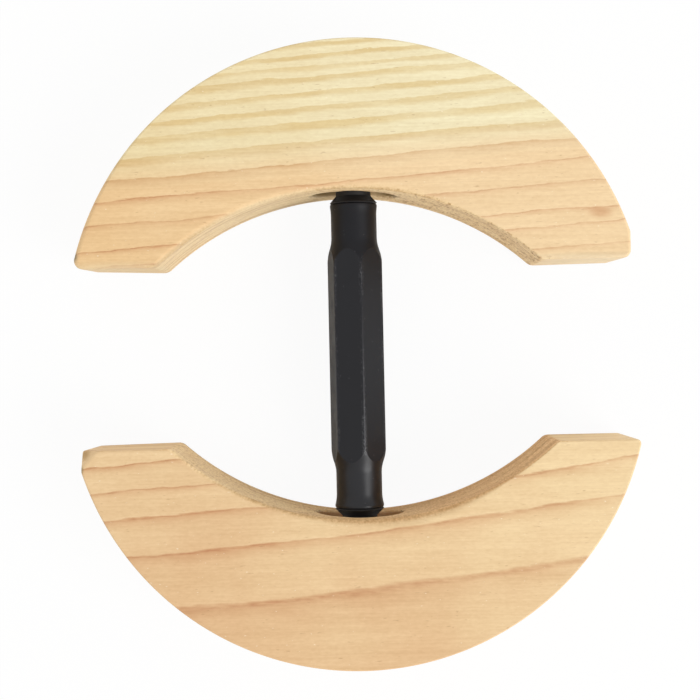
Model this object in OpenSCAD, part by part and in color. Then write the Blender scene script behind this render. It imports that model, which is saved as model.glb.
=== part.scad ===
// Hat stretcher: two crescent pine blocks pushed apart by a turnbuckle.
// Frame: +Y runs along the turnbuckle towards the front block, +Z is up, and the
// origin is on the table under the middle of the sleeve. Shown fully closed.

/* [Wooden blocks] */
// Thickness of the board
block_thickness = 31.75; // [28:0.25:40]
// Width of the board, from the end faces to the crown of the outer arc
block_width = 64.6; // [58:0.2:70]
// Depth of wood between the middle of the hollow and the crown
web_depth = 43; // [40:0.5:50]
// Radius of the outer arc that bears on the hat band
outer_radius = 83.2; // [80:0.2:90]
// Radius of the hollow on the inner side
hollow_radius = 81.8; // [76:0.2:90]
// Sideways offset of the hollow's centre from the turnbuckle
hollow_shift = 1.7; // [0:0.1:3]
// Corner radius at the sharper tip, the one on the side that the hollow is offset to
sharp_tip_radius = 1.5; // [1:0.5:5]
// Corner radius at the blunter tip
blunt_tip_radius = 5; // [2:0.5:8]

/* [Mortise and anchor plate] */
// Length of the round-ended mortise in the middle of the hollow
mortise_length = 25.4; // [25:0.2:28]
// Height of the mortise
mortise_height = 12.7; // [11:0.1:16]
// Thickness of the anchor plate at the bottom of the mortise
plate_thickness = 3; // [2.5:0.25:5]
// Gap all round the edge of the plate
plate_clearance = 0.2; // [0.1:0.05:0.4]
// Shank diameter of the wood screws that hold the plate
screw_diameter = 2.9; // [2.4:0.1:3]
// Head diameter of the wood screws
screw_head_diameter = 5.4; // [4.6:0.1:5.6]
// Length of the wood screws
screw_length = 14; // [10:0.5:18]
// Metal left between a screw head and the end of the plate
screw_edge = 0.5; // [0.3:0.1:0.8]

/* [Studs and jam nuts] */
// Outer diameter of the stud thread
stud_diameter = 7.94; // [6:0.02:8.2]
// Pitch of the thread, one right-handed and one left-handed
thread_pitch = 1.4111; // [1:0.0001:1.8]
// Depth of the thread
thread_depth = 0.8; // [0.5:0.05:1]
// Gap between the inner ends of the two studs when closed
stud_gap = 12; // [4:1:24]
// Length of stud that runs on past the jam nut into the wood
stud_tail = 8; // [4:0.5:14]
// Jam nut size across the flats
nut_flats = 12.7; // [11:0.1:13]
// Jam nut thickness
nut_thickness = 4.76; // [4:0.02:6]
// Gap round the jam nut and the stud in their drilled holes
hole_clearance = 0.3; // [0.2:0.05:0.6]

/* [Turnbuckle sleeve] */
// Length of the sleeve from lip to lip
sleeve_length = 90.4; // [84:0.2:100]
// Hexagon size across the flats
hex_flats = 14.7; // [14.2:0.1:18]
// Length of the full hexagon
hex_length = 54.5; // [48:0.5:58]
// Turn of the hexagon about the axis when closed, from a corner straight up
hex_turn = 13; // [0:1:60]
// Length of the turned taper from the hexagon's corners down to the neck
taper_length = 6.2; // [4:0.1:7]
// Diameter of the round neck
neck_diameter = 13.5; // [12.4:0.1:13.6]
// Diameter of the lip at each end
lip_diameter = 14.4; // [13.8:0.1:14.4]
// Length of the flare from the neck out to the lip
flare_length = 3.4; // [2:0.1:5]
// Length of the plain lip
lip_length = 0.8; // [0.5:0.1:1.5]
// Diameter of the bore through the sleeve
sleeve_bore = 10.6; // [10.3:0.1:11.4]

/* [Thread bushes] */
// Length of the bush inside the sleeve
bush_length = 20; // [14:0.5:24]
// Length of the chamfered shoulder outside the sleeve
shoulder_length = 2.4; // [1.5:0.1:4]
// Diameter of the plain collar that ends the bush
collar_diameter = 10.3; // [9.4:0.1:11.5]
// Length of the plain collar
collar_length = 1.8; // [1:0.1:3]

/* [Fits] */
// Radial clearance of the stud in its bush and of the bush in the sleeve
running_clearance = 0.05; // [0.03:0.01:0.1]
// Gap between the sleeve's end face and the bush shoulder
end_play = 0.05; // [0.03:0.01:0.1]
// How far the collar reaches into the mortise when closed
collar_entry = 1.9; // [0.6:0.1:2.6]
// Gap between the collar and the anchor plate when closed
closed_gap = 0.4; // [0.3:0.1:1]

/* [Hidden] */
$fn = 96;

// Overshoot of a cutting shape past the face that it cuts
over = 1;
// A hexagon's corner radius over its inner radius
hex_corner_ratio = 2 / sqrt(3);

// Heights and places along the turnbuckle, all measured from the middle of the sleeve
axis_height = block_thickness / 2;
sleeve_end = sleeve_length / 2;
shoulder_start = sleeve_end + end_play;
collar_start = shoulder_start + shoulder_length;
collar_end = collar_start + collar_length;
plate_face = collar_end + closed_gap;
mortise_floor = plate_face + plate_thickness;
nut_end = mortise_floor + nut_thickness;
stud_end = nut_end + stud_tail;
stud_start = stud_gap / 2;

// Places in a block's outline
hollow_middle = collar_end - collar_entry;
crown = hollow_middle + web_depth;
end_face = crown - block_width;
outer_centre = [0, crown - outer_radius];
hollow_centre = [-hollow_shift, hollow_middle - hollow_radius];

// Centre of the arc that rounds a tip: one tip radius in from the end face and the outer arc
function tip_y(radius) = end_face + radius;
function tip_x(radius) = sqrt(pow(outer_radius - radius, 2) - pow(tip_y(radius) - outer_centre[1], 2));
function tip_angle(radius) = atan2(tip_y(radius) - outer_centre[1], tip_x(radius));
// The rounding arc is this much larger than the tip radius, so that it crosses both edges cleanly
tip_overlap = 0.05;

// Sleeve radii
hex_corner = hex_flats / 2 * hex_corner_ratio;
neck_radius = neck_diameter / 2;
lip_radius = lip_diameter / 2;
// The turned profile starts this far outside the hexagon's corners
turning_stock = 1;
taper_slope = (hex_corner - neck_radius) / taper_length;

// Thread form: flat crests and roots joined by straight flanks
root_flat = thread_pitch / 4;
crest_flat = thread_pitch / 8;
flank = (thread_pitch - root_flat - crest_flat) / 2;
stud_radius = stud_diameter / 2;
root_radius = stud_radius - thread_depth;
thread_turns = floor((stud_end - stud_start) / thread_pitch);

// Anchor plate, screws and nut pocket
plate_length = mortise_length - 2 * plate_clearance;
plate_height = mortise_height - 2 * plate_clearance;
screw_place = plate_length / 2 - screw_edge - screw_head_diameter / 2;
screw_radius = screw_diameter / 2;
screw_head_depth = (screw_head_diameter - screw_diameter) / 2;
screw_point = screw_diameter;
recess_width = screw_diameter / 4;
// The cross recess goes this far down the head, as a share of the head's depth
recess_share = 0.6;
recess_depth = recess_share * screw_head_depth;
nut_pocket_radius = nut_flats / 2 * hex_corner_ratio + hole_clearance;

wood_colour = "burlywood";
paint_colour = [0.16, 0.16, 0.17];
oxide_colour = [0.08, 0.08, 0.08];
zinc_colour = "silver";

// Stands a shape drawn along +Z on the turnbuckle's axis, pointing to +Y
module on_axis(along = 0) {
  translate([0, along, axis_height]) rotate([-90, 0, 0]) children();
}

// The rear half is the front half turned half a turn about the vertical
module rear_half() {
  rotate([0, 0, 180]) children();
}

// A slot with round ends, centred on the origin
module round_ended_slot(length, height) {
  straight = length - height;
  square([straight, height], center = true);
  for (side = [-1, 1]) translate([side * straight / 2, 0]) circle(d = height);
}

// What is cut away outside the rounding of the right-hand tip
module tip_waste(radius) {
  reach = 3 * radius;
  angle = tip_angle(radius);
  translate([tip_x(radius), tip_y(radius)])
    difference() {
      polygon([[0, 0], [0, -reach], [reach, -reach], [reach * cos(angle), reach * sin(angle)]]);
      circle(radius + tip_overlap);
    }
}

module block_outline() {
  difference() {
    intersection() {
      translate(outer_centre) circle(outer_radius);
      translate([-2 * outer_radius, end_face]) square([4 * outer_radius, 2 * block_width]);
    }
    translate(hollow_centre) circle(hollow_radius);
    tip_waste(blunt_tip_radius);
    mirror([1, 0]) tip_waste(sharp_tip_radius);
  }
}

// One countersunk wood screw, its head flush with z = 0 and its point towards +Z
module screw_body() {
  rotate_extrude()
    polygon([[0, 0], [screw_head_diameter / 2, 0], [screw_radius, screw_head_depth],
             [screw_radius, screw_length - screw_point], [0, screw_length]]);
}

module screw_places() {
  for (side = [-1, 1]) translate([side * screw_place, 0, 0]) children();
}

module block() {
  difference() {
    linear_extrude(block_thickness) block_outline();
    // mortise for the anchor plate and the end of the turnbuckle
    on_axis(hollow_middle - over)
      linear_extrude(mortise_floor - hollow_middle + over)
        round_ended_slot(mortise_length, mortise_height);
    // drilled pocket for the jam nut, then the hole for the stud's tail
    on_axis(mortise_floor - over)
      cylinder(r = nut_pocket_radius, h = nut_thickness + hole_clearance + over);
    on_axis(mortise_floor - over)
      cylinder(r = stud_radius + hole_clearance, h = stud_end + hole_clearance - mortise_floor + over);
    on_axis(plate_face) screw_places() screw_body();
  }
}

module anchor_plate() {
  on_axis(plate_face)
    difference() {
      linear_extrude(plate_thickness) round_ended_slot(plate_length, plate_height);
      translate([0, 0, -over]) cylinder(r = stud_radius, h = plate_thickness + 2 * over);
      screw_places() screw_body();
    }
}

module anchor_screws() {
  on_axis(plate_face)
    screw_places()
      difference() {
        screw_body();
        // cross recess in the head
        for (turn = [0, 90])
          rotate([0, 0, turn])
            translate([0, 0, recess_depth / 2 - over / 2])
              cube([screw_diameter, recess_width, recess_depth + over], center = true);
      }
}

module jam_nut() {
  on_axis(mortise_floor)
    difference() {
      cylinder(r = nut_flats / 2 * hex_corner_ratio, h = nut_thickness, $fn = 6);
      translate([0, 0, -over]) cylinder(r = stud_radius, h = nut_thickness + 2 * over);
    }
}

module stud() {
  thread_points = [for (turn = [0 : thread_turns - 1])
    let (start = stud_start + turn * thread_pitch)
    each [[root_radius, start],
          [root_radius, start + root_flat],
          [stud_radius, start + root_flat + flank],
          [stud_radius, start + root_flat + flank + crest_flat]]];
  on_axis()
    rotate_extrude()
      polygon(concat([[0, stud_start]], thread_points, [[root_radius, stud_end], [0, stud_end]]));
}

// A plain bush in the sleeve, with a chamfered shoulder over the sleeve's end and a short collar
module thread_bush() {
  bush_radius = sleeve_bore / 2 - running_clearance;
  bore_radius = stud_radius + running_clearance;
  on_axis()
    rotate_extrude()
      polygon([[bore_radius, sleeve_end - bush_length], [bush_radius, sleeve_end - bush_length],
               [bush_radius, shoulder_start], [lip_radius, shoulder_start],
               [collar_diameter / 2, collar_start], [collar_diameter / 2, collar_end],
               [bore_radius, collar_end]]);
}

// Turned outside of one half of the sleeve, from the middle to the lip, as [radius, place]
sleeve_half = [[hex_corner + turning_stock, hex_length / 2 - turning_stock / taper_slope],
               [neck_radius, hex_length / 2 + taper_length],
               [neck_radius, sleeve_end - lip_length - flare_length],
               [lip_radius, sleeve_end - lip_length],
               [lip_radius, sleeve_end]];

module sleeve() {
  bore_radius = sleeve_bore / 2;
  other_half = [for (i = [len(sleeve_half) - 1 : -1 : 0]) [sleeve_half[i][0], -sleeve_half[i][1]]];
  on_axis()
    intersection() {
      rotate_extrude()
        polygon(concat([[bore_radius, -sleeve_end]], other_half, sleeve_half, [[bore_radius, sleeve_end]]));
      // hexagon bar with one corner turned from the top towards +X
      rotate([0, 0, hex_turn - 90])
        translate([0, 0, -sleeve_length])
          cylinder(r = hex_corner, h = 2 * sleeve_length, $fn = 6);
    }
}

module turnbuckle_sleeve() { color(paint_colour) sleeve(); }
module front_thread_bush() { color(oxide_colour) thread_bush(); }
module rear_thread_bush() { color(oxide_colour) rear_half() thread_bush(); }
module front_stud() { color(zinc_colour) stud(); }
module rear_stud() { color(zinc_colour) rear_half() stud(); }
module front_block() { color(wood_colour) block(); }
module rear_block() { color(wood_colour) rear_half() block(); }
module front_anchor_plate() { color(zinc_colour) anchor_plate(); }
module rear_anchor_plate() { color(zinc_colour) rear_half() anchor_plate(); }
module front_jam_nut() { color(zinc_colour) jam_nut(); }
module rear_jam_nut() { color(zinc_colour) rear_half() jam_nut(); }
module front_anchor_screws() { color(zinc_colour) anchor_screws(); }
module rear_anchor_screws() { color(zinc_colour) rear_half() anchor_screws(); }

turnbuckle_sleeve();
front_thread_bush();
rear_thread_bush();
front_stud();
rear_stud();
front_block();
rear_block();
front_anchor_plate();
rear_anchor_plate();
front_jam_nut();
rear_jam_nut();
front_anchor_screws();
rear_anchor_screws();
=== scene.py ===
import math

import bmesh
import bpy
import numpy as np
from mathutils import Matrix, Vector


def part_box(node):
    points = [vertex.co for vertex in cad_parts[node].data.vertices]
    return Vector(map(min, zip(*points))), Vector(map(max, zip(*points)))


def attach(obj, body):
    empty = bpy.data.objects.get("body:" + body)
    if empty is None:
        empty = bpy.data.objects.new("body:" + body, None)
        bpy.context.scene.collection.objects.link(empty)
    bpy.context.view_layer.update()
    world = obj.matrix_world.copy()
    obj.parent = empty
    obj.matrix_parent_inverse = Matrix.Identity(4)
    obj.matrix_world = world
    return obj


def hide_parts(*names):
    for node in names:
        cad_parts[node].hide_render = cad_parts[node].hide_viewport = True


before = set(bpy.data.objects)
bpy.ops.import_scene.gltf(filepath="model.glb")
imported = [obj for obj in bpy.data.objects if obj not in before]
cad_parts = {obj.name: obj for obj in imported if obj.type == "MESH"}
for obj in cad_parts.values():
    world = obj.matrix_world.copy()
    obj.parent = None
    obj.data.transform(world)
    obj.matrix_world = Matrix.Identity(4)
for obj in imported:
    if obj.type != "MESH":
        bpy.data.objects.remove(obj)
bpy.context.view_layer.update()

# Pine blocks
# Two crescents of one pattern, sawn from thick pine board and set half a turn from each other. The board's
# faces are planed and the outer arc is sanded to take a hat. The hollow is left from the saw, and a
# round-ended mortise is routed into its middle to take the end of the turnbuckle.
mm = 0.001
block_low, block_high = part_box("front_block")
crown = block_high.y
end_face = block_low.y
thickness = block_high.z
axis_height = thickness / 2
outer_radius = 83.2 * mm
outer_middle = Vector((0, crown - outer_radius, 0))
hollow_radius = 81.8 * mm
hollow_depth = 21.6 * mm
hollow_middle = Vector((-1.7 * mm, end_face + hollow_depth - hollow_radius, 0))
hollow_turn = math.acos((end_face - hollow_middle.y) / hollow_radius)
mortise_length = 25.4 * mm
mortise_height = 12.7 * mm
mortise_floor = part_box("front_anchor_plate")[1].y
nut_pocket_radius = 7.65 * mm
nut_pocket_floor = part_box("front_jam_nut")[1].y + 0.3 * mm
stud_hole_radius = 4.27 * mm
stud_hole_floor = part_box("front_stud")[1].y + 0.3 * mm
screw_hole_radius = 1.5 * mm
screw_spacing = 18.6 * mm
screw_hole_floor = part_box("front_anchor_screws")[1].y + 0.3 * mm
eased_edge = 0.6 * mm
rim_edge = 0.8 * mm
hollow_corner_edge = 1.1 * mm
widest_rub = 3 * mm
tip_height = 6 * mm
merge_distance = 0.0005 * mm
on_arc = 0.1 * mm
past_hollow = 0.2 * mm
rim_margin = 1 * mm
crisp_angle = math.radians(30)
arc_steps = 120
hollow_steps = 80
slot_steps = 24
corner_steps = 8
hole_sides = 40
along_y = Matrix.Rotation(math.radians(-90), 4, "X")


def run_arc(bm, vert, middle, sweep, steps):
    """Carries an outline on from vert by an arc about middle, and returns the arc's last vertex."""
    made = bmesh.ops.spin(bm, geom=[vert], cent=middle, axis=(0, 0, 1), angle=sweep, steps=steps)
    return [part for part in made["geom_last"] if isinstance(part, bmesh.types.BMVert)][0]


def run_line(bm, vert, place):
    """Carries an outline on from vert by a straight line to place, and returns the line's last vertex."""
    made = bmesh.ops.extrude_vert_indiv(bm, verts=[vert])
    made["verts"][0].co = place
    return made["verts"][0]


def raise_outline(bm, travel):
    """Closes an outline, fills it and pulls it out into a solid."""
    bmesh.ops.remove_doubles(bm, verts=bm.verts[:], dist=merge_distance)
    bmesh.ops.contextual_create(bm, geom=bm.edges[:])
    made = bmesh.ops.extrude_face_region(bm, geom=bm.faces[:])
    pulled = [part for part in made["geom"] if isinstance(part, bmesh.types.BMVert)]
    bmesh.ops.translate(bm, vec=travel, verts=pulled)


def make_piece(name, bm):
    """Closes seams, turns the faces outward and makes the object."""
    bmesh.ops.remove_doubles(bm, verts=bm.verts[:], dist=merge_distance)
    bmesh.ops.recalc_face_normals(bm, faces=bm.faces[:])
    mesh = bpy.data.meshes.new(name)
    bm.to_mesh(mesh)
    bm.free()
    piece = bpy.data.objects.new(name, mesh)
    bpy.context.scene.collection.objects.link(piece)
    return piece


def shade(piece, round_below):
    """Edges that turn less than round_below degrees look round, and the others stay crisp."""
    bm = bmesh.new()
    bm.from_mesh(piece.data)
    for face in bm.faces:
        face.smooth = True
    for edge in bm.edges:
        edge.smooth = edge.calc_face_angle(0) < math.radians(round_below)
    bm.to_mesh(piece.data)
    bm.free()


def machine(piece, cutter, operation="DIFFERENCE"):
    """Cuts piece with cutter, or keeps only what they share, and takes the cutter away."""
    cut = piece.modifiers.new("cut", "BOOLEAN")
    cut.object = cutter
    cut.operation = operation
    cut.solver = "EXACT"
    evaluated = piece.evaluated_get(bpy.context.evaluated_depsgraph_get())
    piece.data = bpy.data.meshes.new_from_object(evaluated)
    piece.data.name = piece.name
    piece.modifiers.clear()
    bpy.data.objects.remove(cutter)


def drill(piece, radius, x, floor):
    """Drills a round hole along the turnbuckle's line, from the middle of the stretcher to floor."""
    bm = bmesh.new()
    place = Matrix.Translation((x, floor / 2, axis_height)) @ along_y
    bmesh.ops.create_cone(bm, cap_ends=True, segments=hole_sides, radius1=radius, radius2=radius,
                          depth=floor, matrix=place)
    machine(piece, make_piece("drill", bm))


def sawn_block(name, left_tip, right_tip):
    """The front crescent, with its mortise and the holes behind it. A tip is given as how far out its small
    flat stands, the radius between that flat and the end face, and how far the end face falls back at the
    bottom."""
    left_flat, left_round, left_lean = left_tip
    right_flat, right_round, right_lean = right_tip
    right_turn = math.acos(right_flat / outer_radius)
    left_turn = math.acos(left_flat / outer_radius)
    bm = bmesh.new()
    first = outer_middle + Vector((math.cos(right_turn), math.sin(right_turn), 0)) * outer_radius
    vert = bm.verts.new(first)
    vert = run_arc(bm, vert, outer_middle, math.pi - left_turn - right_turn, arc_steps)
    vert = run_line(bm, vert, (-left_flat, end_face + left_round, 0))
    if left_round:
        vert = run_arc(bm, vert, (left_round - left_flat, end_face + left_round, 0), math.pi / 2,
                       corner_steps)
    corner = hollow_middle + Vector((-math.sin(hollow_turn), math.cos(hollow_turn), 0)) * hollow_radius
    vert = run_line(bm, vert, corner)
    vert = run_arc(bm, vert, hollow_middle, -2 * hollow_turn, hollow_steps)
    vert = run_line(bm, vert, (right_flat - right_round, end_face, 0))
    if right_round:
        vert = run_arc(bm, vert, (right_flat - right_round, end_face + right_round, 0), math.pi / 2,
                       corner_steps)
    run_line(bm, vert, first)
    raise_outline(bm, (0, 0, thickness))
    left_foot = (left_round - left_flat, left_turn, left_lean)
    right_foot = (right_flat - right_round, right_turn, right_lean)
    for inner, turn, lean in (left_foot, right_foot):
        arc_end = outer_middle.y + math.sin(turn) * outer_radius
        foot = [vert for vert in bm.verts if vert.co.z == 0 and vert.co.y < arc_end - merge_distance
                and abs(vert.co.x) > abs(inner) - merge_distance and vert.co.x * inner > 0]
        drawn_in = (1, 1 - lean / (arc_end - end_face), 1)
        bmesh.ops.scale(bm, vec=drawn_in, space=Matrix.Translation((0, -arc_end, 0)), verts=foot)
    block = make_piece(name, bm)

    bm = bmesh.new()
    slot_radius = mortise_height / 2
    slot_reach = mortise_length / 2 - slot_radius
    vert = bm.verts.new((slot_reach, -slot_radius, 0))
    vert = run_arc(bm, vert, (slot_reach, 0, 0), math.pi, slot_steps)
    vert = run_line(bm, vert, (-slot_reach, slot_radius, 0))
    vert = run_arc(bm, vert, (-slot_reach, 0, 0), math.pi, slot_steps)
    run_line(bm, vert, (slot_reach, -slot_radius, 0))
    raise_outline(bm, (0, 0, mortise_floor))
    bmesh.ops.transform(bm, matrix=Matrix.Translation((0, 0, axis_height)) @ along_y, verts=bm.verts[:])
    machine(block, make_piece("router", bm))
    drill(block, nut_pocket_radius, 0, nut_pocket_floor)
    drill(block, stud_hole_radius, 0, stud_hole_floor)
    drill(block, screw_hole_radius, screw_spacing / 2, screw_hole_floor)
    drill(block, screw_hole_radius, -screw_spacing / 2, screw_hole_floor)
    return block


def pare(block, place, facing):
    """Takes one flat shaving off a tip: what stands beyond a plane through place, in millimetres."""
    bm = bmesh.new()
    bm.from_mesh(block.data)
    whole = bm.verts[:] + bm.edges[:] + bm.faces[:]
    cut = bmesh.ops.bisect_plane(bm, geom=whole, plane_co=Vector(place) * mm, plane_no=facing,
                                 clear_outer=True)
    rim = [part for part in cut["geom_cut"] if isinstance(part, bmesh.types.BMEdge)]
    bmesh.ops.contextual_create(bm, geom=rim)
    bmesh.ops.recalc_face_normals(bm, faces=bm.faces[:])
    bm.to_mesh(block.data)
    bm.free()


def ease_edges(block, hollow_rub, outer_rub):
    """Sands the block's edges and marks the mortise. The upper edge of the hollow and both edges of the
    outer arc are sanded down by a width that changes along X, given as places and widths in millimetres.
    Each end face goes with the end of the arc."""
    bm = bmesh.new()
    bm.from_mesh(block.data)
    weights = bm.edges.layers.float.new("bevel_weight_edge")
    for edge in bm.edges:
        if edge.calc_face_angle(0) < crisp_angle:
            continue
        middle = (edge.verts[0].co + edge.verts[1].co) / 2
        depth = abs(middle.y)
        on_face = max(abs(vert.co.z - axis_height) for vert in edge.verts) > axis_height - merge_distance
        from_hollow = (middle * math.copysign(1, middle.y) - hollow_middle).xy.length - hollow_radius
        upright = abs(edge.verts[0].co.z - edge.verts[1].co.z) > axis_height
        width = hollow_corner_edge if upright else eased_edge
        if not on_face:
            width = rim_edge if depth < mortise_floor - rim_margin else 0
        elif middle.z > axis_height and abs(from_hollow) < on_arc:
            width = np.interp(middle.x / mm, *zip(*hollow_rub)) * mm
        elif abs(from_hollow) > on_arc:
            along = math.copysign(outer_radius, middle.x) if depth < end_face + tip_height else middle.x
            width = np.interp(along / mm, *zip(*outer_rub)) * mm
        edge[weights] = width / widest_rub
    for face in bm.faces:
        face.smooth = True
        middle = face.calc_center_median()
        from_hollow = (middle * math.copysign(1, middle.y) - hollow_middle).xy.length - hollow_radius
        off_axis = abs(middle.z - axis_height) - mortise_height / 2
        in_slot = abs(middle.x) < mortise_length / 2 and off_axis < merge_distance
        in_depth = from_hollow > past_hollow and abs(middle.y) < stud_hole_floor + merge_distance
        face.material_index = 1 if in_slot and in_depth else 0
    bm.to_mesh(block.data)
    bm.free()
    sanding = block.modifiers.new("sanded edges", "BEVEL")
    sanding.limit_method = "WEIGHT"
    sanding.width = widest_rub
    sanding.use_clamp_overlap = False
    sanding.segments = 5
    sanding.profile = 0.5
    sanding.material = -1
    sanding.harden_normals = True


def linear(colour):
    """An sRGB hex colour as the linear values that a shader takes."""
    parts = [int(colour[place:place + 2], 16) / 255 for place in (1, 3, 5)]
    return [part / 12.92 if part <= 0.04045 else ((part + 0.055) / 1.055) ** 2.4 for part in parts] + [1]


def add_node(tree, kind, links, **settings):
    """Adds a shader node. A link's value is a node, one of its sockets, or a plain value."""
    node = tree.nodes.new("ShaderNode" + kind)
    for setting, value in settings.items():
        setattr(node, setting, value)
    for socket, source in links.items():
        if isinstance(source, bpy.types.Node):
            source = [output for output in source.outputs if output.enabled][0]
        if isinstance(source, bpy.types.NodeSocket):
            tree.links.new(source, node.inputs[socket])
        else:
            node.inputs[socket].default_value = source
    return node


def new_material(name):
    """An empty Principled material, as its node tree and its shader."""
    material = bpy.data.materials.new(name)
    material.use_nodes = True
    return material, material.node_tree, material.node_tree.nodes["Principled BSDF"]


ring_rim = "#b9794e"
resin_brown = "#9a6a3c"
pale_fleck_colour = "#fff0d6"


def pine(name, rings, tones, warmth, hollow, scorch_and_shade, marks):
    """Planed pine. Wide pale earlywood closes in a thin, broken red-brown line at each ring, and the rings
    run a few degrees off the board's length. The board is warmer towards one side. Fine fibres, resin
    flecks and small pale flecks streak the faces. The hollow is dull, sandy and scored along by the saw, and
    torn where the saw ran against the grain. In the mortise a light brown, as a router scorches it, turns to
    a dark brown further in, which is painted shade under the mortise's rim.

    All lengths are in millimetres. rings are their places, their rise, bow and lean, and where heartwood
    begins. tones are early and late sapwood, then early and late heartwood. warmth is a tint, the way it
    lies, and where it begins and ends. hollow is its middle, and for the walls that face left and right a
    tone, how far they are torn, how far the tone covers the wood, and their grit. A mark is a place, a
    size, a lift of the rings, a colour and a share."""
    ring_places, rise, bow, lean, heart_below = rings
    sap, sap_late, heart, heart_late = tones
    material, tree, shader = new_material(name)
    place = add_node(tree, "TexCoord", {}).outputs["Object"]
    board = add_node(tree, "VectorMath", {0: place, "Scale": 1 / mm}, operation="SCALE")
    x, y, z = add_node(tree, "SeparateXYZ", {0: board}).outputs

    wave_place = add_node(tree, "VectorMath", {0: board, 1: (1 / 40, 1 / 8, 1 / 8)}, operation="MULTIPLY")
    wave = add_node(tree, "TexNoise", {"Vector": wave_place, "Scale": 1.0, "Detail": 3.0, "Roughness": 0.5})
    wander = add_node(tree, "MapRange",
                      {"Value": wave, "From Min": 0.25, "From Max": 0.75, "To Min": -0.8, "To Max": 0.8})
    bend = add_node(tree, "Math", {0: x, 1: -bow, 2: -rise}, operation="MULTIPLY_ADD")
    run = add_node(tree, "Math", {0: x, 1: bend, 2: y}, operation="MULTIPLY_ADD")
    below = add_node(tree, "Math", {0: thickness / mm, 1: z}, operation="SUBTRACT")
    leaned = add_node(tree, "Math", {0: below, 1: lean, 2: run}, operation="MULTIPLY_ADD")
    wandered = add_node(tree, "Math", {0: leaned, 1: wander}, operation="ADD")
    feather_place = add_node(tree, "VectorMath", {0: board, 1: (1 / 5, 1 / 0.9, 1 / 0.9)},
                             operation="MULTIPLY")
    feather = add_node(tree, "TexNoise",
                       {"Vector": feather_place, "Scale": 1.0, "Detail": 3.0, "Roughness": 0.6})
    fray = add_node(tree, "MapRange",
                    {"Value": feather, "From Min": 0.25, "From Max": 0.75, "To Min": -0.3, "To Max": 0.3})
    depth = add_node(tree, "Math", {0: wandered, 1: fray}, operation="ADD")

    stains = []
    for mark_place, mark_size, lift, colour, share in marks:
        offset = add_node(tree, "VectorMath", {0: board, 1: mark_place}, operation="SUBTRACT")
        scaled = add_node(tree, "VectorMath", {0: offset, 1: mark_size}, operation="DIVIDE")
        far = add_node(tree, "VectorMath", {0: scaled}, operation="LENGTH").outputs["Value"]
        near = add_node(tree, "MapRange", {"Value": far, "From Min": 1.0, "From Max": 0.2, "To Max": share},
                        interpolation_type="SMOOTHSTEP")
        around = add_node(tree, "MapRange", {"Value": far, "From Min": 2.2, "From Max": 0.4, "To Max": lift},
                          interpolation_type="SMOOTHSTEP")
        depth = add_node(tree, "Math", {0: depth, 1: around}, operation="ADD")
        stains.append((near, colour))

    first, last = ring_places[0], ring_places[-1]
    span = add_node(tree, "MapRange", {"Value": depth, "From Min": first, "From Max": last})
    counted = add_node(tree, "FloatCurve", {"Value": span})
    curve = counted.mapping.curves[0]
    ring_count = len(ring_places) - 1
    for number, ring in enumerate(ring_places[1:-1], 1):
        curve.points.new((ring - first) / (last - first), number / ring_count)
    for point in curve.points:
        point.handle_type = "VECTOR"
    counted.mapping.update()
    grown = add_node(tree, "Math", {0: counted, 1: ring_count}, operation="MULTIPLY")
    phase = add_node(tree, "Math", {0: grown}, operation="FRACT")
    year = add_node(tree, "Math", {0: grown}, operation="FLOOR")
    season = add_node(tree, "TexWhiteNoise", {"W": year}, noise_dimensions="1D").outputs["Value"]
    patchy = add_node(tree, "TexNoise", {"Vector": wave_place, "Scale": 1.7, "Detail": 2.0})
    lean_years = add_node(tree, "MapRange", {"Value": season, "To Min": 0.7, "To Max": 1.0})
    uneven_ring = add_node(tree, "MapRange", {"Value": patchy, "From Min": 0.35, "From Max": 0.65,
                                              "To Min": 0.55, "To Max": 1.0})
    heartwood = add_node(tree, "MapRange",
                         {"Value": depth, "From Min": heart_below + 5, "From Max": heart_below - 5})
    paler_end = add_node(tree, "MapRange",
                         {"Value": x, "From Min": -60, "From Max": 60, "To Min": 1.05, "To Max": 0.68})
    faded = add_node(tree, "Mix", {0: heartwood, 2: 1.0, 3: paler_end})
    strength = add_node(tree, "Math", {0: uneven_ring, 1: faded}, operation="MULTIPLY")

    fade = add_node(tree, "MapRange", {"Value": phase, "From Min": 0.3, "From Max": 0.97})
    thin_line = add_node(tree, "Math", {0: fade, 1: 4.5}, operation="POWER")
    broad_band = add_node(tree, "MapRange", {"Value": phase, "From Min": 0.45, "From Max": 0.75},
                          interpolation_type="SMOOTHSTEP")
    line = add_node(tree, "Mix", {0: heartwood, 2: broad_band, 3: thin_line})
    close = add_node(tree, "MapRange", {"Value": phase, "From Min": 1.0, "From Max": 0.965})
    closed = add_node(tree, "Math", {0: line, 1: close}, operation="MULTIPLY")
    yearly = add_node(tree, "Math", {0: closed, 1: lean_years}, operation="MULTIPLY")
    latewood = add_node(tree, "Math", {0: yearly, 1: strength}, operation="MULTIPLY")
    dash_place = add_node(tree, "VectorMath", {0: board, 1: (1 / 4, 1 / 0.7, 1 / 0.7)}, operation="MULTIPLY")
    dash = add_node(tree, "TexNoise", {"Vector": dash_place, "Scale": 1.0, "Detail": 3.0})
    broken = add_node(tree, "MapRange",
                      {"Value": dash, "From Min": 0.38, "From Max": 0.62, "To Min": 0.05, "To Max": 0.55})
    rim = add_node(tree, "MapRange", {"Value": phase, "From Min": 0.92, "From Max": 0.96, "To Max": broken})
    rim_closed = add_node(tree, "Math", {0: rim, 1: close}, operation="MULTIPLY")
    ring_edge = add_node(tree, "Math", {0: rim_closed, 1: strength}, operation="MULTIPLY")

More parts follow.
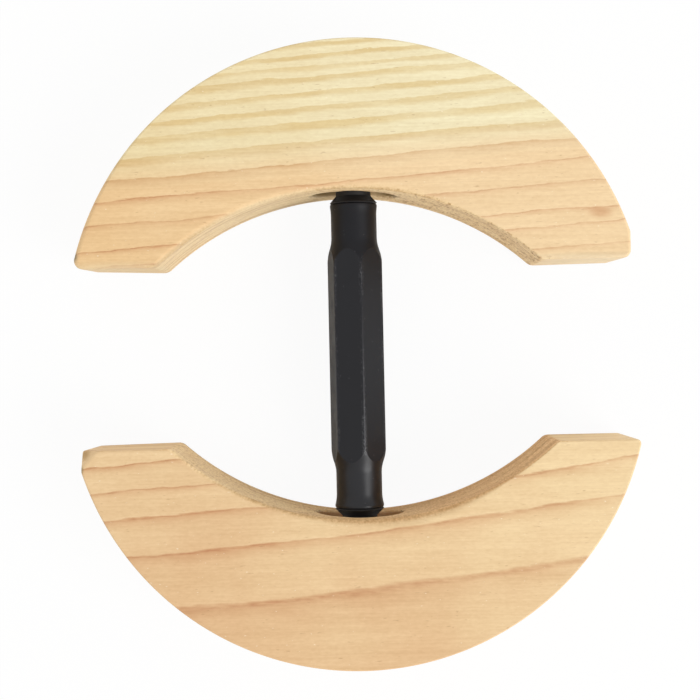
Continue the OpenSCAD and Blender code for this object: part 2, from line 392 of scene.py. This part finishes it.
    warm_tint, warm_way, warm_from, warm_to = warmth
    drift = add_node(tree, "TexNoise", {"Vector": board, "Scale": 1 / 30, "Detail": 2.0})
    side = add_node(tree, "VectorMath", {0: board, 1: warm_way}, operation="DOT_PRODUCT").outputs["Value"]
    patch = add_node(tree, "MapRange",
                     {"Value": drift, "From Min": 0.25, "From Max": 0.75, "To Min": -20, "To Max": 20})
    reach = add_node(tree, "Math", {0: side, 1: patch}, operation="ADD")
    flush = add_node(tree, "MapRange", {"Value": reach, "From Min": warm_from, "From Max": warm_to})
    sapwood = add_node(tree, "Mix", {0: latewood, 6: linear(sap), 7: linear(sap_late)}, data_type="RGBA")
    core = add_node(tree, "Mix", {0: latewood, 6: linear(heart), 7: linear(heart_late)}, data_type="RGBA")
    core = add_node(tree, "Mix", {0: ring_edge, 6: core, 7: linear(ring_rim)}, data_type="RGBA")
    wood = add_node(tree, "Mix", {0: heartwood, 6: sapwood, 7: core}, data_type="RGBA")
    wood = add_node(tree, "Mix", {0: flush, 6: wood, 7: linear(warm_tint)}, data_type="RGBA",
                    blend_type="MULTIPLY")
    for near, colour in stains:
        wood = add_node(tree, "Mix", {0: near, 6: wood, 7: linear(colour)}, data_type="RGBA")

    fibre_place = add_node(tree, "VectorMath", {0: board, 1: (1 / 14, 1 / 0.5, 1 / 0.5)},
                           operation="MULTIPLY")
    fibre = add_node(tree, "TexNoise",
                     {"Vector": fibre_place, "Scale": 1.0, "Detail": 3.0, "Roughness": 0.6})
    streak = add_node(tree, "MapRange",
                      {"Value": fibre, "From Min": 0.3, "From Max": 0.7, "To Min": 0.965, "To Max": 1.03})
    band_place = add_node(tree, "VectorMath", {0: board, 1: (1 / 45, 1 / 2.2, 1 / 2.2)},
                          operation="MULTIPLY")
    band = add_node(tree, "TexNoise", {"Vector": band_place, "Scale": 1.0, "Detail": 2.0})
    broad = add_node(tree, "MapRange",
                     {"Value": band, "From Min": 0.3, "From Max": 0.7, "To Min": 0.97, "To Max": 1.025})
    mottle_place = add_node(tree, "VectorMath", {0: board, 1: (1 / 1.6, 1 / 0.7, 1 / 0.7)},
                            operation="MULTIPLY")
    mottle = add_node(tree, "TexNoise", {"Vector": mottle_place, "Scale": 1.0, "Detail": 2.0})
    fleck = add_node(tree, "MapRange",
                     {"Value": mottle, "From Min": 0.3, "From Max": 0.7, "To Min": 0.97, "To Max": 1.03})
    figure = add_node(tree, "Math", {0: streak, 1: broad}, operation="MULTIPLY")
    figure = add_node(tree, "Math", {0: figure, 1: fleck}, operation="MULTIPLY")
    duct_place = add_node(tree, "VectorMath", {0: board, 1: (1 / 2.4, 1 / 0.5, 1 / 0.5)},
                          operation="MULTIPLY")
    duct = add_node(tree, "TexNoise", {"Vector": duct_place, "Scale": 1.0, "Detail": 1.0})
    resin = add_node(tree, "MapRange", {"Value": duct, "From Min": 0.72, "From Max": 0.8, "To Max": 0.3})
    wood = add_node(tree, "Mix", {0: resin, 6: wood, 7: linear(resin_brown)}, data_type="RGBA")
    # Small pale flecks, lighter than the wood round them.
    pale_fleck_place = add_node(tree, "VectorMath", {0: board, 1: (1 / 1.1, 1 / 0.6, 1 / 0.6)},
                          operation="MULTIPLY")
    pale_fleck_noise = add_node(tree, "TexNoise", {"Vector": pale_fleck_place, "Scale": 1.0, "Detail": 1.0})
    pale_fleck_cover = add_node(tree, "MapRange", {"Value": pale_fleck_noise, "From Min": 0.73, "From Max": 0.81, "To Max": 0.6})
    wood = add_node(tree, "Mix", {0: pale_fleck_cover, 6: wood, 7: linear(pale_fleck_colour)}, data_type="RGBA")

    hollow_at, faces_left, faces_right = hollow
    left_tone, left_tear, left_cover, left_grit = faces_left
    right_tone, right_tear, right_cover, right_grit = faces_right
    pore_place = add_node(tree, "VectorMath", {0: board, 1: (1 / 1.1, 1 / 1.1, 1 / 3.5)},
                          operation="MULTIPLY")
    pore = add_node(tree, "TexNoise", {"Vector": pore_place, "Scale": 1.0, "Detail": 3.0, "Roughness": 0.65})
    facing = add_node(tree, "SeparateXYZ", {0: add_node(tree, "NewGeometry", {}).outputs["Normal"]})
    from_middle = add_node(tree, "VectorMath", {0: board, 1: hollow_at}, operation="SUBTRACT")
    level = add_node(tree, "VectorMath", {0: from_middle, 1: (1, 1, 0)}, operation="MULTIPLY")
    radius = add_node(tree, "VectorMath", {0: level}, operation="LENGTH").outputs["Value"]
    rolled = add_node(tree, "Math", {0: facing.outputs["Z"], 1: -widest_rub / mm, 2: radius},
                      operation="MULTIPLY_ADD")
    wall = hollow_radius / mm
    near_hollow = add_node(tree, "MapRange",
                           {"Value": rolled, "From Min": wall + 0.8, "From Max": wall + 0.3})
    ragged = add_node(tree, "Math", {0: pore, 1: 0.2, 2: facing.outputs["Z"]}, operation="MULTIPLY_ADD")
    upright = add_node(tree, "MapRange", {"Value": ragged, "From Min": 1.06, "From Max": 0.7})
    sawn = add_node(tree, "Math", {0: near_hollow, 1: upright}, operation="MULTIPLY")
    turned = add_node(tree, "MapRange", {"Value": facing.outputs["X"], "From Min": -0.3, "From Max": 0.3})
    sawn_tone = add_node(tree, "Mix", {0: turned, 6: linear(left_tone), 7: linear(right_tone)},
                         data_type="RGBA")
    hides = add_node(tree, "MapRange", {"Value": turned, "To Min": left_cover, "To Max": right_cover})
    cover = add_node(tree, "Math", {0: sawn, 1: hides}, operation="MULTIPLY")
    wood = add_node(tree, "Mix", {0: cover, 6: wood, 7: sawn_tone}, data_type="RGBA")
    tear = add_node(tree, "MapRange", {"Value": turned, "To Min": left_tear, "To Max": right_tear})
    cluster = add_node(tree, "TexNoise", {"Vector": board, "Scale": 1 / 7, "Detail": 2.0})
    crowd = add_node(tree, "MapRange",
                     {"Value": cluster, "From Min": 0.35, "From Max": 0.65, "To Min": 0.35, "To Max": 0.56})
    pit = add_node(tree, "MapRange", {"Value": pore, "From Min": crowd, "From Max": 0.34})
    pitted = add_node(tree, "Math", {0: pit, 1: tear}, operation="MULTIPLY")
    saw_place = add_node(tree, "VectorMath", {0: board, 1: (1 / 60, 1 / 60, 1 / 3.6)}, operation="MULTIPLY")
    saw = add_node(tree, "TexNoise", {"Vector": saw_place, "Scale": 1.0, "Detail": 3.0})
    score = add_node(tree, "MapRange", {"Value": saw, "From Min": 0.52, "From Max": 0.36, "To Max": 0.18})
    marks_cut = add_node(tree, "Math", {0: pitted, 1: score}, operation="ADD")
    darkened = add_node(tree, "Math", {0: marks_cut, 1: sawn}, operation="MULTIPLY")
    sand_place = add_node(tree, "VectorMath", {0: board, 1: (1 / 0.6, 1 / 0.6, 1 / 2)}, operation="MULTIPLY")
    sand = add_node(tree, "TexNoise", {"Vector": sand_place, "Scale": 1.0, "Detail": 2.0})
    grit = add_node(tree, "MapRange",
                    {"Value": sand, "From Min": 0.3, "From Max": 0.7, "To Min": -1.0, "To Max": 1.0})
    coarse = add_node(tree, "MapRange", {"Value": turned, "To Min": left_grit, "To Max": right_grit})
    sanded = add_node(tree, "Math", {0: sawn, 1: coarse}, operation="MULTIPLY")
    gritty = add_node(tree, "Math", {0: grit, 1: sanded, 2: figure}, operation="MULTIPLY_ADD")
    kept = add_node(tree, "Math", {0: gritty, 1: darkened}, operation="SUBTRACT")
    kept_green = add_node(tree, "Math", {0: kept, 1: 1.4}, operation="POWER")
    kept_blue = add_node(tree, "Math", {0: kept, 1: 1.9}, operation="POWER")
    shade_colour = add_node(tree, "CombineXYZ", {0: kept, 1: kept_green, 2: kept_blue})
    toned = add_node(tree, "Mix", {0: 1.0, 6: wood, 7: shade_colour}, data_type="RGBA",
                     blend_type="MULTIPLY")
    # Scorched light brown at the mortise's mouth, turning further in to a dark brown that is painted shade
    # under its rim.
    if scorch_and_shade:
        light_burn, dark_burn_and_shade = scorch_and_shade
        uneven = add_node(tree, "MapRange",
                          {"Value": pore, "From Min": 0.3, "From Max": 0.7, "To Min": 0.8, "To Max": 0.5})
        inside = add_node(tree, "MapRange", {"Value": radius, "From Min": wall, "From Max": wall + 0.8})
        # Painted shade: deeper into the mortise the colour turns to the dark brown.
        deep = add_node(tree, "MapRange", {"Value": radius, "From Min": wall + 1.0, "From Max": wall + 2.2})
        burn_with_painted_shade = add_node(tree, "Mix", {0: deep, 6: linear(light_burn), 7: linear(dark_burn_and_shade)},
                        data_type="RGBA")
        burn_and_shade_cover = add_node(tree, "Math", {0: uneven, 1: inside}, operation="MULTIPLY")
        toned = add_node(tree, "Mix", {0: burn_and_shade_cover, 6: toned, 7: burn_with_painted_shade}, data_type="RGBA")
    tree.links.new(toned.outputs[2], shader.inputs["Base Color"])

    height = add_node(tree, "Math", {0: fibre, 1: 0.12, 2: darkened}, operation="MULTIPLY_ADD")
    bump = add_node(tree, "Bump", {"Strength": 0.5, "Distance": 0.2 * mm, "Height": height})
    tree.links.new(bump.outputs[0], shader.inputs["Normal"])
    rough = add_node(tree, "MapRange", {"Value": latewood, "To Min": 0.64, "To Max": 0.52})
    tree.links.new(rough.outputs[0], shader.inputs["Roughness"])
    shader.inputs["IOR"].default_value = 1.45
    return material


front_left_tip = (80.4 * mm, 2.4 * mm, 0.75 * mm)
front_right_tip = (79.0 * mm, 2.2 * mm, 0.3 * mm)
front_block = sawn_block("front_pine_block", front_left_tip, front_right_tip)
front_hollow_rub = [(-58, 1.4), (-40, 2.0), (-12, 1.6), (0, 2.0), (14, 2.2), (24, 1.4), (32, 0.5), (58, 0.5)]
front_outer_rub = [(-79, 1.7), (-60, 0.6), (60, 0.6), (78, 1.0)]
ease_edges(front_block, front_hollow_rub, front_outer_rub)
front_ring_places = [14, 20, 25.3, 31.3, 36.2, 43.5, 50.1, 56.2, 61.7, 67.7, 71.8, 76.1, 80.6, 83.6, 86.8]
front_ring_places += range(90, 111, 4)
front_rise, front_bow, front_lean = 0.073, 0.0, 0.3
front_heart_below = 57.5
front_rings = (front_ring_places, front_rise, front_bow, front_lean, front_heart_below)
blind_knot = ((70.4, 39.1, 31.7), (4.6, 2.2, 9), 1.0, "#cf9a6c", 0.6)
thumb_smudge = ((-80.2, 29.5, 30.4), (1.7, 2.3, 3.0), 0, "#6f6b52", 0.8)
# Painted light: the front block's end faces, which face the lamp, are made paler.
left_end_painted_light = ((-69.0, 26.0, 18.0), (28, 2.6, 36), 0, "#dcc69d", 0.8)
right_end_painted_light = ((67.0, 26.0, 18.0), (28, 2.6, 36), 0, "#e3d2b0", 0.75)
front_tones = ("#f3e6bd", "#e2c991", "#f1d2a4", "#d09b6e")
front_warmth = ("#f8efe2", (-1, 0, 0), -15, 70)
front_hollow = (hollow_middle / mm, ("#f8dcaa", 0.34, 0.75, 0.12), ("#efddb6", 0.03, 0.65, 0.04))
# Scorched light brown, and the dark brown painted as shade further into the mortise.
front_burn_and_shade = ("#b8935e", "#4a2c0e")
front_marks = (blind_knot, thumb_smudge, left_end_painted_light, right_end_painted_light)
for finish, scorch_and_shade in (("planed pine, front", None), ("routed pine, front", front_burn_and_shade)):
    wood = pine(finish, front_rings, front_tones, front_warmth, front_hollow, scorch_and_shade, front_marks)
    front_block.data.materials.append(wood)
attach(front_block, "front")
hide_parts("front_block")

rear_right_tip = (80.7 * mm, 1.2 * mm, 0)
rear_left_tip = (79.4 * mm, 0, 0.5 * mm)
rear_block = sawn_block("rear_pine_block", rear_right_tip, rear_left_tip)
rear_block.data.transform(Matrix.Rotation(math.pi, 4, "Z"))
shaving_place = (-75.0, -26.6, 31.75)
shaving_facing = (-0.46, 0.449, 0.766)
pare(rear_block, shaving_place, shaving_facing)
rear_hollow_rub = [(-58, 0.9), (-46, 1.6), (-20, 1.8), (0, 2.2), (14, 2.9), (26, 2.6), (42, 0.6), (58, 0.5)]
rear_outer_rub = [(-78, 0.7), (-60, 0.5), (60, 0.5), (79, 0.6)]
ease_edges(rear_block, rear_hollow_rub, rear_outer_rub)
rear_ring_places = [-140, -100, -66.3, -50.5, -40.1, -31.6, -24.7, -17, -10, -3, 4, 11]
rear_rise, rear_bow, rear_lean = 0.102, 0.00027, 0.55
rear_heart_below = 60
rear_rings = (rear_ring_places, rear_rise, rear_bow, rear_lean, rear_heart_below)
tip_smudge = ((-79.4, -31.4, 30.8), (1.3, 1.6, 2.2), 0, "#857a50", 0.8)
# Painted shade and brown dirt on the pared facet at the left tip, which faces away from the lamp.
pared_facet_shade_and_dirt = ((-78.2, -27.4, 29.6), (2.6, 2.6, 2.6), 0, "#b8915a", 0.75)
rear_tones = ("#f0d3a3", "#d3a075", "#f0d3a3", "#cf9a6a")
rear_warmth = ("#efe1db", (-0.35, -0.94, 0), 20, 90)
rear_hollow = (-hollow_middle / mm, ("#edbf86", 0.12, 0.75, 0.12), ("#f6d8a6", 0.15, 0.75, 0.12))
# Scorched light brown, and the dark brown painted as shade further into the mortise.
rear_burn_and_shade = ("#d98c4a", "#6a2a06")
rear_marks = (tip_smudge, pared_facet_shade_and_dirt)
for finish, scorch_and_shade in (("planed pine, rear", None), ("routed pine, rear", rear_burn_and_shade)):
    wood = pine(finish, rear_rings, rear_tones, rear_warmth, rear_hollow, scorch_and_shade, rear_marks)
    rear_block.data.materials.append(wood)
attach(rear_block, "rear")
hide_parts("rear_block")

# Anchor plates, jam nuts and screws
# Small pressed and turned steel parts with a bright zinc coat. Each stud is locked by its nut in the pocket
# behind the mortise, and the plate over it is held by two countersunk screws.


def zinc_steel(name):
    """Bright zinc on steel. It is a cool pale grey metal, a little cloudy, with fine drawn lines."""
    material, tree, shader = new_material(name)
    place = add_node(tree, "TexCoord", {}).outputs["Object"]
    cloud = add_node(tree, "TexNoise", {"Vector": place, "Scale": 1 / (3 * mm), "Detail": 3.0})
    pale, deep = linear("#d3d6d8"), linear("#a9adb0")
    colour = add_node(tree, "Mix", {0: cloud, 6: pale, 7: deep}, data_type="RGBA")
    tree.links.new(colour.outputs[2], shader.inputs["Base Color"])
    rough = add_node(tree, "MapRange",
                     {"Value": cloud, "From Min": 0.3, "From Max": 0.7, "To Min": 0.28, "To Max": 0.45})
    tree.links.new(rough.outputs[0], shader.inputs["Roughness"])
    grain = add_node(tree, "TexNoise", {"Vector": place, "Scale": 1 / (0.25 * mm), "Detail": 2.0})
    bump = add_node(tree, "Bump", {"Strength": 0.25, "Distance": 0.02 * mm, "Height": grain})
    tree.links.new(bump.outputs[0], shader.inputs["Normal"])
    shader.inputs["Metallic"].default_value = 1.0
    return material


zinc = zinc_steel("bright zinc on steel")
for side in ("front", "rear"):
    for fitting in ("anchor_plate", "jam_nut", "anchor_screws"):
        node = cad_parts[side + "_" + fitting]
        node.data.materials.clear()
        node.data.materials.append(zinc)

# Threaded studs
# Two zinc-coated steel studs, one with a right-hand and one with a left-hand thread, so that turning the
# sleeve one way drives both blocks apart. Each is screwed into its block and runs in its thread bush.
stud_low, stud_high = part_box("front_stud")
crest_radius = 3.97 * mm
root_radius = 3.17 * mm
pitch = 1.4111 * mm
flank = (crest_radius - root_radius) * math.tan(math.radians(30))
crest_width = pitch / 8
turn_steps = 28
thread_seam = 0.01 * mm


def threaded_stud():
    """The front stud: one pitch of thread, wound round the axis past both ends and trimmed square."""
    bm = bmesh.new()
    start = stud_low.y - 2 * pitch
    vert = bm.verts.new((root_radius, start, axis_height))
    root_width = pitch - 2 * flank - crest_width
    vert = run_line(bm, vert, (root_radius, start + root_width, axis_height))
    vert = run_line(bm, vert, (crest_radius, start + root_width + flank, axis_height))
    vert = run_line(bm, vert, (crest_radius, start + root_width + flank + crest_width, axis_height))
    run_line(bm, vert, (root_radius, start + pitch, axis_height))
    turns = math.ceil((stud_high.y - stud_low.y) / pitch) + 3
    bmesh.ops.spin(bm, geom=bm.verts[:] + bm.edges[:], cent=(0, 0, axis_height), axis=(0, 1, 0),
                   dvec=(0, pitch / turn_steps, 0), angle=turns * math.tau, steps=turns * turn_steps)
    bmesh.ops.remove_doubles(bm, verts=bm.verts[:], dist=thread_seam)
    for level, outward in ((stud_low.y, -1), (stud_high.y, 1)):
        whole = bm.verts[:] + bm.edges[:] + bm.faces[:]
        cut = bmesh.ops.bisect_plane(bm, geom=whole, plane_co=(0, level, 0), plane_no=(0, outward, 0),
                                     clear_outer=True)
        rim = [part for part in cut["geom_cut"] if isinstance(part, bmesh.types.BMEdge)]
        bmesh.ops.contextual_create(bm, geom=rim)
    return bm


front_stud = make_piece("front_threaded_stud", threaded_stud())
bm = threaded_stud()
bmesh.ops.scale(bm, vec=(1, -1, 1), verts=bm.verts[:])
rear_stud = make_piece("rear_threaded_stud", bm)
for stud, side in ((front_stud, "front"), (rear_stud, "rear")):
    shade(stud, round_below=25)
    stud.data.materials.append(zinc)
    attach(stud, side)
    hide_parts(side + "_stud")

# Thread bushes
# A turned steel bush stands in each end of the sleeve and carries the thread. Its shoulder tapers down to a
# collar that enters the mortise. The steel is blacked in an oxide bath.
bush_low, bush_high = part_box("front_thread_bush")
bush_body_radius = 5.25 * mm
bush_collar_radius = 5.15 * mm
bush_bore_radius = 4.02 * mm
bush_edge = 0.35 * mm
bush_taper = 2.4 * mm
front_lip_radius = 6.95 * mm
rear_lip_radius = 7.2 * mm
front_shoulder = 44.35 * mm
rear_shoulder = 45.25 * mm
lathe_steps = 72


def run_profile(bm, profile):
    """Joins places, each a radius and a distance along the turnbuckle, into a closed outline and spins
    it round."""
    vert = bm.verts.new((profile[0][0], profile[0][1], axis_height))
    for radius, y in profile[1:] + profile[:1]:
        vert = run_line(bm, vert, (radius, y, axis_height))
    bmesh.ops.remove_doubles(bm, verts=bm.verts[:], dist=merge_distance)
    bmesh.ops.spin(bm, geom=bm.verts[:] + bm.edges[:], cent=(0, 0, axis_height), axis=(0, 1, 0),
                   angle=math.tau, steps=lathe_steps, use_merge=True)


def thread_bush(shoulder, shoulder_radius):
    """The front bush, with its shoulder at a place along the turnbuckle and as wide as the sleeve's lip."""
    bm = bmesh.new()
    profile = [
        (bush_bore_radius, bush_low.y),
        (bush_body_radius, bush_low.y),
        (bush_body_radius, shoulder),
        (shoulder_radius - bush_edge, shoulder),
        (shoulder_radius, shoulder + bush_edge),
        (bush_collar_radius, shoulder + bush_taper),
        (bush_collar_radius, bush_high.y - bush_edge),
        (bush_collar_radius - bush_edge, bush_high.y),
        (bush_bore_radius, bush_high.y),
    ]
    run_profile(bm, profile)
    return bm


def black_oxide(name):
    """Blacked steel. It is near black, oily and only a little shiny."""
    material, tree, shader = new_material(name)
    place = add_node(tree, "TexCoord", {}).outputs["Object"]
    cloud = add_node(tree, "TexNoise", {"Vector": place, "Scale": 1 / (2.5 * mm), "Detail": 3.0})
    colour = add_node(tree, "Mix", {0: cloud, 6: linear("#121112"), 7: linear("#1c1a1a")}, data_type="RGBA")
    tree.links.new(colour.outputs[2], shader.inputs["Base Color"])
    rough = add_node(tree, "MapRange", {"Value": cloud, "To Min": 0.4, "To Max": 0.6})
    tree.links.new(rough.outputs[0], shader.inputs["Roughness"])
    return material


blacked = black_oxide("black oxide on steel")
front_bush = make_piece("front_turned_bush", thread_bush(front_shoulder, front_lip_radius))
bm = thread_bush(rear_shoulder, rear_lip_radius)
bmesh.ops.rotate(bm, cent=(0, 0, 0), matrix=Matrix.Rotation(math.pi, 3, "Z"), verts=bm.verts[:])
rear_bush = make_piece("rear_turned_bush", bm)
for bush, node in ((front_bush, "front_thread_bush"), (rear_bush, "rear_thread_bush")):
    shade(bush, round_below=25)
    bush.data.materials.append(blacked)
    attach(bush, "core")
    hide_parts(node)

# Turnbuckle sleeve
# A length of hexagon steel bar, bored through and turned down at both ends to a round neck with a small lip.
# It is painted satin black. Turned by hand, it winds both studs out of their bushes.
sleeve_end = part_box("turnbuckle_sleeve")[1].y
across_flats = 14.7 * mm
corner_radius = across_flats / math.sqrt(3)
corner_turn = math.radians(13)
hexagon_end = 25.9 * mm
front_neck_start = 34.3 * mm
front_sleeve_end = 44.3 * mm
rear_hexagon_end = 26.9 * mm
rear_neck_start = 34.9 * mm
neck_end = 41 * mm
neck_radius = 6.75 * mm
sleeve_bore_radius = 5.3 * mm
corner_ease = 0.3 * mm
lip_height = 0.8 * mm
lip_edge = 0.25 * mm
lathe_entry = 1 * mm
curve_steps = 10
bar_length = 2.2 * sleeve_end

bm = bmesh.new()
bar_place = Matrix.Translation((0, 0, axis_height)) @ Matrix.Rotation(corner_turn, 4, "Y") @ along_y
bmesh.ops.create_cone(bm, cap_ends=True, segments=6, radius1=corner_radius, radius2=corner_radius,
                      depth=bar_length, matrix=bar_place)
corners = [edge for edge in bm.edges if abs(edge.verts[0].co.y - edge.verts[1].co.y) > sleeve_end]
bmesh.ops.bevel(bm, geom=corners, offset=corner_ease, affect="EDGES", segments=3, profile=0.5, material=-1)
sleeve = make_piece("hexagon_sleeve", bm)


def neck_profile(shoulder_start, neck_start, end, lip_radius):
    """The turned outside of one end: off the hexagon by a curve, along the neck, and out to the lip."""
    taper = neck_start - shoulder_start
    shares = [step / curve_steps for step in range(curve_steps + 1)]
    fall = corner_radius - neck_radius
    curve = [(0.5 + 0.5 * math.cos(math.pi * share), share) for share in shares]
    shoulder = [(neck_radius + fall * up, shoulder_start + taper * share) for up, share in curve]
    flare = end - lip_height - neck_end
    lip = [(neck_radius + (lip_radius - neck_radius) * share ** 2,
            neck_end + flare * share) for share in shares]
    rim = [(lip_radius, end - lip_edge), (lip_radius - lip_edge, end), (sleeve_bore_radius, end)]
    return [(corner_radius + lathe_entry, shoulder_start - lathe_entry)] + shoulder + lip + rim


bm = bmesh.new()
front_outside = neck_profile(hexagon_end, front_neck_start, front_sleeve_end, front_lip_radius)
rear_outside = neck_profile(rear_hexagon_end, rear_neck_start, sleeve_end, rear_lip_radius)
run_profile(bm, [(radius, -y) for radius, y in reversed(rear_outside)] + front_outside)
machine(sleeve, make_piece("lathe", bm), "INTERSECT")
shade(sleeve, round_below=12)
for face in sleeve.data.polygons:
    face.material_index = 0 if abs(face.center.y) < hexagon_end else 1 if face.center.y > 0 else 2


def satin_black(name, smooth, dull, gloss):
    """Satin black paint on steel. It is a soft sheen over near black, chipped along the corners and a little
    dusty, with a painted highlight along each corner ridge that grows stronger towards the rear end. The
    sheen lies between a smooth and a dull roughness, and gloss is its strength."""
    material, tree, shader = new_material(name)
    place = add_node(tree, "TexCoord", {}).outputs["Object"]
    level = add_node(tree, "VectorMath", {0: place, 1: (0, 0, axis_height)}, operation="SUBTRACT")
    round_axis = add_node(tree, "VectorMath", {0: level, 1: (1, 0, 1)}, operation="MULTIPLY")
    radius = add_node(tree, "VectorMath", {0: round_axis}, operation="LENGTH").outputs["Value"]
    corner = add_node(tree, "MapRange", {"Value": radius, "From Min": corner_radius - 0.5 * mm,
                                         "From Max": corner_radius - 0.1 * mm})
    speck = add_node(tree, "TexNoise",
                     {"Vector": place, "Scale": 1 / (0.35 * mm), "Detail": 3.0, "Roughness": 0.7})
    stretch = add_node(tree, "TexNoise", {"Vector": place, "Scale": 1 / (14 * mm), "Detail": 2.0})
    bare = add_node(tree, "MapRange",
                    {"Value": stretch, "From Min": 0.4, "From Max": 0.65, "To Min": 0.62, "To Max": 0.45})
    spot = add_node(tree, "MapRange", {"Value": speck, "From Min": bare, "From Max": 0.72})
    chips = add_node(tree, "Math", {0: corner, 1: spot}, operation="MULTIPLY")
    # Painted highlight: a thin pale line along each corner ridge, stronger towards the rear end.
    ridge = add_node(tree, "MapRange", {"Value": radius, "From Min": corner_radius - 0.16 * mm,
                                        "From Max": corner_radius - 0.09 * mm})
    along = add_node(tree, "SeparateXYZ", {0: place})
    shine = add_node(tree, "MapRange", {"Value": along.outputs["Y"], "From Min": 15 * mm,
                                        "From Max": -25 * mm, "To Min": 0.02, "To Max": 0.3})
    painted_ridge_highlight = add_node(tree, "Math", {0: ridge, 1: shine}, operation="MULTIPLY")
    scuffs_and_highlight = add_node(tree, "Math", {0: chips, 1: painted_ridge_highlight}, operation="MAXIMUM")
    dust_place = add_node(tree, "TexVoronoi", {"Vector": place, "Scale": 1 / (2.1 * mm)})
    dust = add_node(tree, "MapRange", {"Value": dust_place.outputs["Distance"], "From Min": 0.06,
                                       "From Max": 0.03, "To Max": 0.5})
    # Worn chips, dust and the painted ridge highlight all lighten the paint towards a pale grey.
    light = add_node(tree, "Math", {0: scuffs_and_highlight, 1: dust}, operation="MAXIMUM")
    mist = add_node(tree, "TexNoise", {"Vector": place, "Scale": 1 / (9 * mm), "Detail": 4.0})
    paint = add_node(tree, "Mix", {0: mist, 6: linear("#0c0c11"), 7: linear("#121218")}, data_type="RGBA")
    worn = add_node(tree, "Mix", {0: light, 6: paint, 7: linear("#77777a")}, data_type="RGBA")
    tree.links.new(worn.outputs[2], shader.inputs["Base Color"])
    smear = add_node(tree, "TexNoise", {"Vector": place, "Scale": 1 / (5 * mm), "Detail": 3.0})
    rough = add_node(tree, "MapRange",
                     {"Value": smear, "From Min": 0.3, "From Max": 0.7, "To Min": smooth, "To Max": dull})
    tree.links.new(rough.outputs[0], shader.inputs["Roughness"])
    peel = add_node(tree, "TexNoise", {"Vector": place, "Scale": 1 / (0.5 * mm), "Detail": 2.0})
    sag = add_node(tree, "TexNoise", {"Vector": place, "Scale": 1 / (4 * mm), "Detail": 1.0})
    surface = add_node(tree, "Math", {0: sag, 1: 8.0, 2: peel}, operation="MULTIPLY_ADD")
    bump = add_node(tree, "Bump", {"Strength": 0.2, "Distance": 0.02 * mm, "Height": surface})
    tree.links.new(bump.outputs[0], shader.inputs["Normal"])
    shader.inputs["Specular IOR Level"].default_value = gloss
    return material


sleeve.data.materials.append(satin_black("satin black paint on hexagon steel", smooth=0.34, dull=0.44,
                                         gloss=0.32))
sleeve.data.materials.append(satin_black("satin black paint, dull neck", smooth=0.36, dull=0.46, gloss=0.25))
sleeve.data.materials.append(satin_black("satin black paint, handled neck", smooth=0.29, dull=0.39,
                                         gloss=0.42))
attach(sleeve, "sleeve")
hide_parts("turnbuckle_sleeve")

# Floor, light and camera
# A plain white floor under soft studio light: a white room whose walls are brighter than its ceiling, and
# one broad lamp to the right and near the foot of the picture. The camera looks straight down from less than
# half a metre.
floor_reach = 1.5
floor_drop = 0.1 * mm
floor_glow = 0.93
bm = bmesh.new()
bmesh.ops.create_grid(bm, x_segments=1, y_segments=1, size=floor_reach)
bmesh.ops.translate(bm, vec=(0, 0, -floor_drop), verts=bm.verts[:])
floor = make_piece("floor", bm)
material, tree, shader = new_material("white paper")
path = add_node(tree, "LightPath", {})
seen = add_node(tree, "Math", {0: path.outputs["Is Camera Ray"], 1: floor_glow}, operation="MULTIPLY")
glow = add_node(tree, "Emission", {"Color": linear("#ffffff"), "Strength": 1.0})
shader.inputs["Base Color"].default_value = linear("#fafaf8")
shader.inputs["Roughness"].default_value = 0.9
shader.inputs["Specular IOR Level"].default_value = 0.1
paper = add_node(tree, "MixShader", {0: seen, 1: shader, 2: glow})
tree.links.new(paper.outputs[0], tree.nodes["Material Output"].inputs["Surface"])
floor.data.materials.append(material)

wall_light = 1.25
ceiling_light = 0.45
world = bpy.data.worlds.new("white room")
bpy.context.scene.world = world
world.use_nodes = True
tree = world.node_tree
path = add_node(tree, "LightPath", {})
shown = add_node(tree, "Math", {0: path.outputs["Is Camera Ray"], 1: path.outputs["Is Glossy Ray"]},
                 operation="MAXIMUM")
shown = add_node(tree, "Math", {0: shown, 1: path.outputs["Is Transmission Ray"]}, operation="MAXIMUM")
way = add_node(tree, "SeparateXYZ", {0: add_node(tree, "TexCoord", {}).outputs["Generated"]})
room = add_node(tree, "MapRange", {"Value": way.outputs["Z"], "To Min": wall_light, "To Max": ceiling_light})
room_strength = add_node(tree, "MapRange", {"Value": shown, "To Min": room, "To Max": 1.0})
tree.links.new(room_strength.outputs[0], tree.nodes["Background"].inputs["Strength"])
tree.nodes["Background"].inputs["Color"].default_value = linear("#ffffff")

lamp_width = 2.0
lamp_power = 46.0
lamp_place = (1.95, -1.2, 1.95)
lamp_data = bpy.data.lights.new("broad lamp", "AREA")
lamp_data.shape = "DISK"
lamp_data.size = lamp_width
lamp_data.energy = lamp_power
lamp = bpy.data.objects.new("broad lamp", lamp_data)
lamp.location = lamp_place
lamp.rotation_euler = (-lamp.location).to_track_quat("-Z", "Y").to_euler()
bpy.context.scene.collection.objects.link(lamp)

sensor_width = 36
lens_length = 74.2
nearest_seen = 0.01
camera_place = (-1.91 * mm, 1.26 * mm, 443.4 * mm)
camera_turn = math.radians(-1.233)
camera_data = bpy.data.cameras.new("camera")
camera_data.sensor_width = sensor_width
camera_data.lens = lens_length
camera_data.clip_start = nearest_seen
camera = bpy.data.objects.new("camera", camera_data)
camera.location = camera_place
camera.rotation_euler = (0, 0, camera_turn)
bpy.context.scene.collection.objects.link(camera)
bpy.context.scene.camera = camera
bpy.context.scene.view_settings.view_transform = "Standard"
